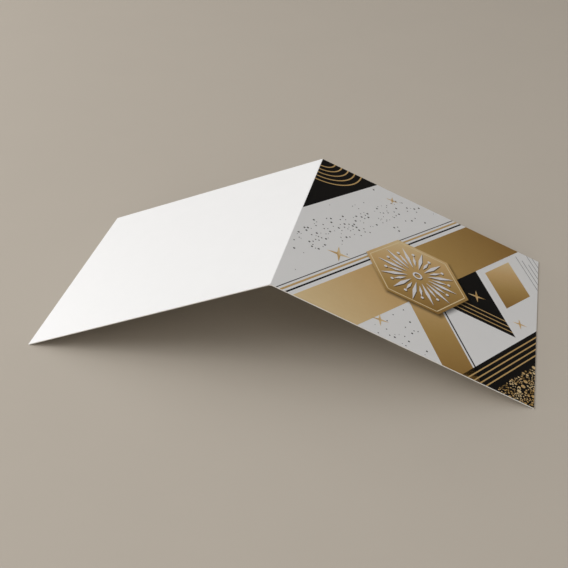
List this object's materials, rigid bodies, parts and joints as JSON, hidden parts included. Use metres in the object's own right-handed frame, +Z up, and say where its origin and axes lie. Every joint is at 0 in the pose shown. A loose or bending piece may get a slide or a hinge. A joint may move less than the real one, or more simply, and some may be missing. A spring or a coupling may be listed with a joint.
{
  "type": "greeting card",
  "caption": "Square folded greeting card in thick board, opened to a low tent and standing on its two side edges, with a plain back cover and a printed front cover.",
  "frame": {"origin": "on the table, under the middle of the fold", "axes": "+Z up, +Y along the fold away from the near edge, +X across the fold towards the printed front cover"},
  "size_m": [0.2734, 0.148, 0.057],
  "materials": {
    "card_stock": "satin coated",
    "gold_print": "satin ink",
    "black_print": "satin ink",
    "grey_print": "satin ink",
    "white_foil": "pearl foil"
  },
  "bodies": {
    "root": {"folded_card": "card_stock"}
  },
  "joints": []
}
